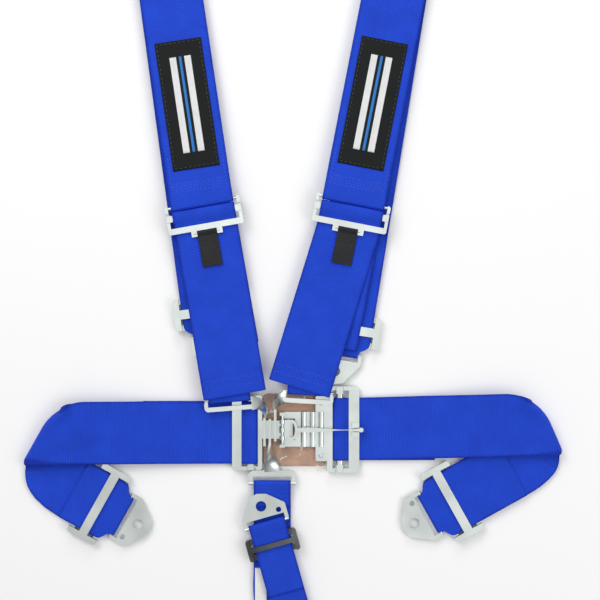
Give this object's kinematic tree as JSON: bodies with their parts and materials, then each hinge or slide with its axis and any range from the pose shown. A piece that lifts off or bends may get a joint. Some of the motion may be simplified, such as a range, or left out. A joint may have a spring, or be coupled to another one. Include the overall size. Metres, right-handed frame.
{
  "type": "racing harness",
  "caption": "Latch-and-link racing harness laid flat: wide lap and shoulder belts, narrow crotch belt, metal adjusters and bolt-in end brackets.",
  "frame": {"origin": "on the flat surface under the buckle pad, below the middle of the buckle", "axes": "+Y towards the shoulder belts, +X towards the latch side's lap belt, +Z out of the face of the buckle"},
  "size_m": [0.6646, 0.9271, 0.0232],
  "materials": {
    "webbing_blue": "woven polyester webbing, matt with a slight sheen",
    "label_black": "woven black label",
    "tab_black": "ribbed black tape",
    "zinc_steel": "satin zinc-plated pressed steel",
    "dark_steel": "gunmetal coated steel",
    "pad_leather": "tan leather",
    "film_clear": "clear wrinkled film",
    "tag_white": "plain white satin tag"
  },
  "bodies": {
    "buckle": {"link_frame": "zinc_steel", "latch_frame": "zinc_steel", "lever_pivot_pin": "zinc_steel", "latch_rivets": "zinc_steel", "buckle_pad": "pad_leather", "pad_film": "film_clear", "left_lap_web": "webbing_blue", "right_lap_web": "webbing_blue", "left_shoulder_fitting": "zinc_steel", "right_shoulder_fitting": "zinc_steel", "crotch_fitting": "zinc_steel"},
    "latch_lever": {"latch_lever": "zinc_steel"},
    "left_lap_slide_bar": {"left_lap_slide_bar": "zinc_steel"},
    "left_lap_end_slide": {"left_lap_end_slide": "zinc_steel"},
    "left_lap_bracket": {"left_lap_bracket": "zinc_steel"},
    "right_lap_slide_bar": {"right_lap_slide_bar": "zinc_steel"},
    "right_lap_end_slide": {"right_lap_end_slide": "zinc_steel"},
    "right_lap_bracket": {"right_lap_bracket": "zinc_steel"},
    "left_shoulder": {"left_loop_web": "webbing_blue", "left_lower_web": "webbing_blue", "left_adjuster_frame": "zinc_steel", "left_upper_web": "webbing_blue", "left_label": "label_black"},
    "left_shoulder_slide_bar": {"left_shoulder_slide_bar": "zinc_steel"},
    "left_pull_tab": {"left_pull_tab": "tab_black"},
    "left_shoulder_end_slide": {"left_shoulder_end_slide": "zinc_steel"},
    "left_shoulder_bracket": {"left_shoulder_bracket": "zinc_steel"},
    "right_shoulder": {"right_loop_web": "webbing_blue", "right_lower_web": "webbing_blue", "right_adjuster_frame": "zinc_steel", "right_upper_web": "webbing_blue", "right_label": "label_black"},
    "right_shoulder_slide_bar": {"right_shoulder_slide_bar": "zinc_steel"},
    "right_pull_tab": {"right_pull_tab": "tab_black"},
    "right_shoulder_end_slide": {"right_shoulder_end_slide": "zinc_steel"},
    "right_shoulder_bracket": {"right_shoulder_bracket": "zinc_steel"},
    "crotch_belt": {"crotch_web": "webbing_blue", "crotch_tag": "tag_white"},
    "crotch_end_slide": {"crotch_end_slide": "dark_steel"},
    "crotch_bracket": {"crotch_bracket": "zinc_steel"}
  },
  "joints": [
    {"name": "latch_lever_hinge", "type": "hinge", "parent": "buckle", "child": "latch_lever", "pos_m": [-0.0114, -0.0032, 0.0165], "axis": [0, -1, 0], "range_deg": [0, 110]},
    {"name": "left_lap_slide_bar_travel", "type": "slide", "parent": "buckle", "child": "left_lap_slide_bar", "axis": [1, 0, 0], "range_m": [0, 0.0022]},
    {"name": "left_lap_end_slide_travel", "type": "slide", "parent": "buckle", "child": "left_lap_end_slide", "axis": [-0.8729, 0.4879, 0], "range_m": [0, 0.018]},
    {"name": "left_lap_bracket_hinge", "type": "hinge", "parent": "buckle", "child": "left_lap_bracket", "pos_m": [-0.20781, -0.10864, 0.0054], "axis": [-0.4879, -0.8729, 0], "range_deg": [0, 80]},
    {"name": "right_lap_slide_bar_travel", "type": "slide", "parent": "buckle", "child": "right_lap_slide_bar", "axis": [-1, 0, 0], "range_m": [0, 0.0022]},
    {"name": "right_lap_end_slide_travel", "type": "slide", "parent": "buckle", "child": "right_lap_end_slide", "axis": [0.8738, 0.4863, 0], "range_m": [0, 0.008]},
    {"name": "right_lap_bracket_hinge", "type": "hinge", "parent": "buckle", "child": "right_lap_bracket", "pos_m": [0.16879, -0.10559, 0.0054], "axis": [-0.4863, 0.8738, 0], "range_deg": [0, 80]},
    {"name": "left_shoulder_hinge", "type": "hinge", "parent": "buckle", "child": "left_shoulder", "pos_m": [-0.0755, 0.034, 0.0146], "axis": [0.9969, 0.0785, 0], "range_deg": [0, 40]},
    {"name": "left_shoulder_slide_bar_travel", "type": "slide", "parent": "left_shoulder", "child": "left_shoulder_slide_bar", "axis": [-0.1736, 0.9848, 0], "range_m": [0, 0.0022]},
    {"name": "left_pull_tab_hinge", "type": "hinge", "parent": "left_shoulder", "child": "left_pull_tab", "pos_m": [-0.10242, 0.23671, 0.0181], "axis": [-0.9848, -0.1736, 0], "range_deg": [0, 100]},
    {"name": "left_shoulder_end_slide_travel", "type": "slide", "parent": "left_shoulder", "child": "left_shoulder_end_slide", "axis": [-0.134, 0.991, 0], "range_m": [0, 0.07]},
    {"name": "left_shoulder_bracket_hinge", "type": "hinge", "parent": "left_shoulder", "child": "left_shoulder_bracket", "pos_m": [-0.09198, 0.11127, 0.0054], "axis": [-0.991, -0.134, 0], "range_deg": [-60, 0]},
    {"name": "right_shoulder_hinge", "type": "hinge", "parent": "buckle", "child": "right_shoulder", "pos_m": [0.02, 0.0425, 0.0146], "axis": [0.9979, -0.0645, 0], "range_deg": [0, 40]},
    {"name": "right_shoulder_slide_bar_travel", "type": "slide", "parent": "right_shoulder", "child": "right_shoulder_slide_bar", "axis": [0.1908, 0.9816, 0], "range_m": [0, 0.0022]},
    {"name": "right_pull_tab_hinge", "type": "hinge", "parent": "right_shoulder", "child": "right_pull_tab", "pos_m": [0.06807, 0.23878, 0.0181], "axis": [-0.9816, 0.1908, 0], "range_deg": [0, 100]},
    {"name": "right_shoulder_end_slide_travel", "type": "slide", "parent": "right_shoulder", "child": "right_shoulder_end_slide", "axis": [0.1616, 0.9869, 0], "range_m": [0, 0.07]},
    {"name": "right_shoulder_bracket_hinge", "type": "hinge", "parent": "right_shoulder", "child": "right_shoulder_bracket", "pos_m": [0.05515, 0.09039, 0.0054], "axis": [-0.9869, 0.1616, 0], "range_deg": [-60, 0]},
    {"name": "crotch_belt_hinge", "type": "hinge", "parent": "buckle", "child": "crotch_belt", "pos_m": [-0.0238, -0.069, 0.0079], "axis": [-1, 0, 0], "range_deg": [0, 60]},
    {"name": "crotch_end_slide_travel", "type": "slide", "parent": "crotch_belt", "child": "crotch_end_slide", "axis": [0.2723, -0.9622, 0], "range_m": [0, 0.03]},
    {"name": "crotch_bracket_hinge", "type": "hinge", "parent": "crotch_belt", "child": "crotch_bracket", "pos_m": [-0.03008, -0.11798, 0.0117], "axis": [0.9622, 0.2723, 0], "range_deg": [0, 80]}
  ]
}
